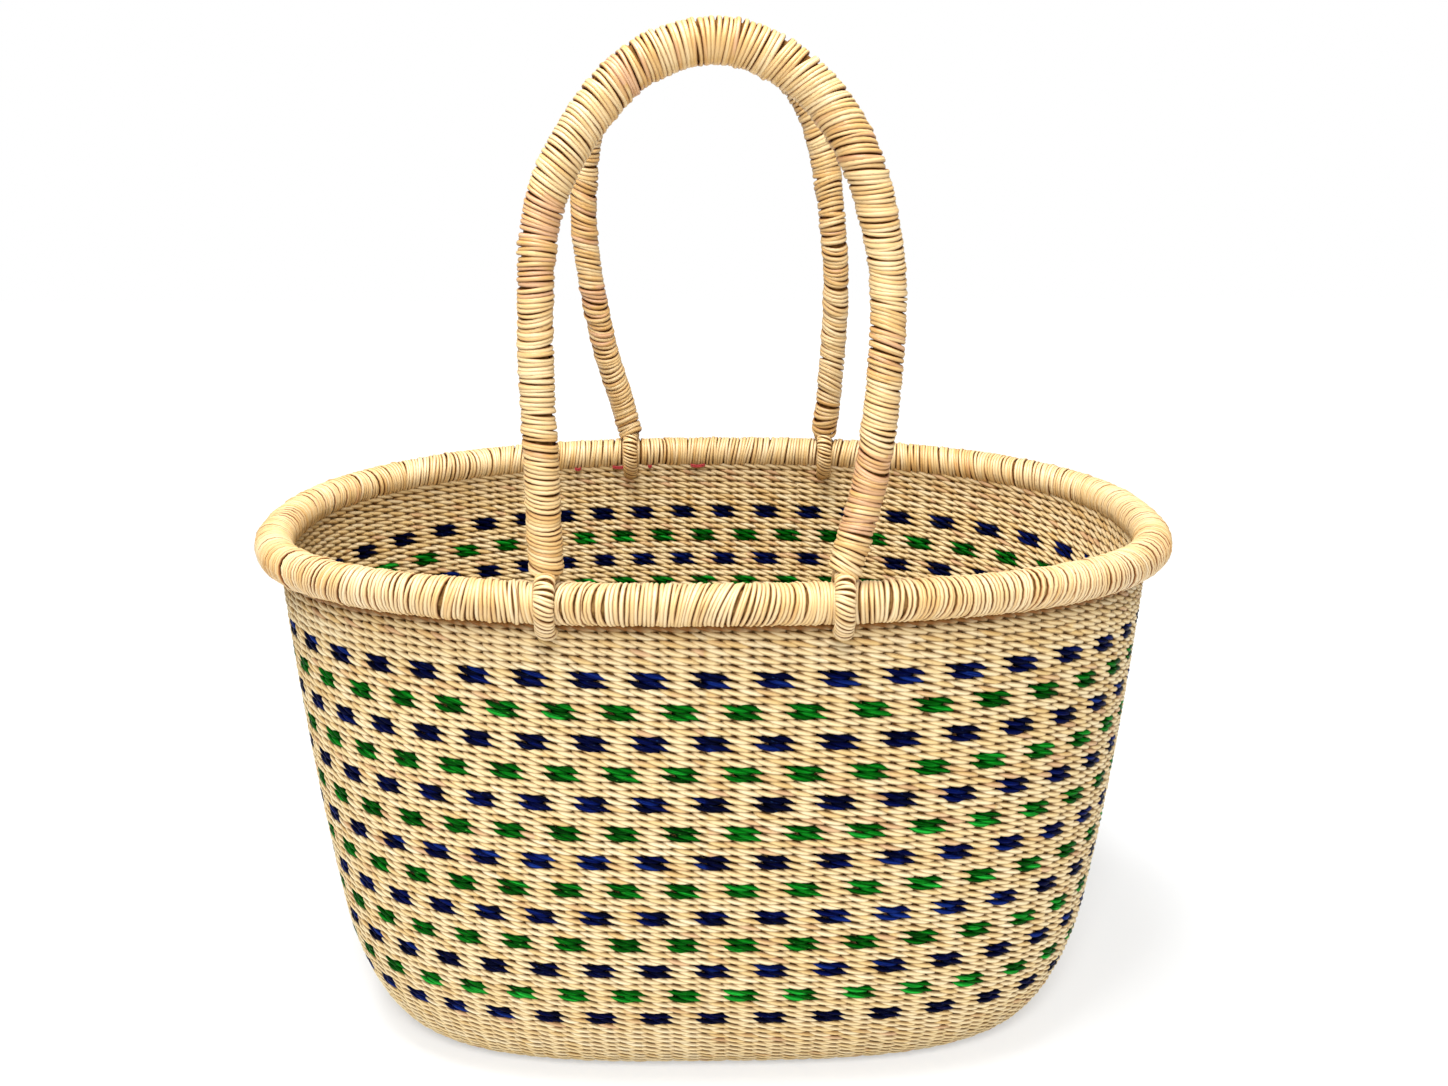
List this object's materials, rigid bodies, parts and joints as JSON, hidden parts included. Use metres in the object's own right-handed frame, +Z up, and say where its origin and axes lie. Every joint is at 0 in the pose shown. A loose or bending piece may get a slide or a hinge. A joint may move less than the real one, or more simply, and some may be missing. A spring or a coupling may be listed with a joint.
{
  "type": "bolga basket",
  "caption": "Oval hand-twined straw shopping basket with a bound roll rim and two arched handles that swing on bound loops.",
  "frame": {"origin": "centre of the flat bottom, on the surface that the basket stands on", "axes": "+X along the long side of the oval, +Y towards the back handle, +Z up"},
  "size_m": [0.47, 0.3136, 0.5171],
  "materials": {
    "natural_straw": "undyed twisted straw, satin",
    "navy_straw": "navy dyed straw, satin",
    "green_straw": "green dyed straw, satin",
    "binding_straw": "undyed split straw, slightly glossy",
    "core_straw": "raw straw, matt"
  },
  "bodies": {
    "bowl": {"base_weave": "natural_straw", "stakes": "core_straw", "inner_weave": "natural_straw", "rim_core": "core_straw", "rim_binding": "binding_straw", "natural_course_01": "natural_straw", "natural_course_02": "natural_straw", "natural_course_03": "natural_straw", "natural_course_04": "natural_straw", "natural_course_05": "natural_straw", "natural_course_06": "natural_straw", "natural_course_07": "natural_straw", "natural_course_08": "natural_straw", "natural_course_09": "natural_straw", "natural_course_10": "natural_straw", "natural_course_11": "natural_straw", "natural_course_12": "natural_straw", "natural_course_13": "natural_straw", "foot_course": "natural_straw", "navy_course_01": "navy_straw", "navy_course_02": "navy_straw", "navy_course_03": "navy_straw", "navy_course_04": "navy_straw", "navy_course_05": "navy_straw", "navy_course_06": "navy_straw", "navy_course_07": "navy_straw", "green_course_01": "green_straw", "green_course_02": "green_straw", "green_course_03": "green_straw", "green_course_04": "green_straw", "green_course_05": "green_straw", "green_course_06": "green_straw"},
    "front_handle": {"front_handle_binding": "binding_straw", "front_handle_core": "core_straw", "front_left_loop": "binding_straw", "front_right_loop": "binding_straw"},
    "back_handle": {"back_handle_binding": "binding_straw", "back_handle_core": "core_straw", "back_left_loop": "binding_straw", "back_right_loop": "binding_straw"}
  },
  "joints": [
    {"name": "front_handle_swing", "type": "hinge", "parent": "bowl", "child": "front_handle", "pos_m": [-0.0102, -0.13883, 0.26503], "axis": [0.9998, -0.0206, 0.0015], "range_deg": [-28, 140]},
    {"name": "back_handle_swing", "type": "hinge", "parent": "bowl", "child": "back_handle", "pos_m": [0.00945, 0.13938, 0.26507], "axis": [-0.9998, 0.0204, 0.0015], "range_deg": [-27, 140]}
  ]
}
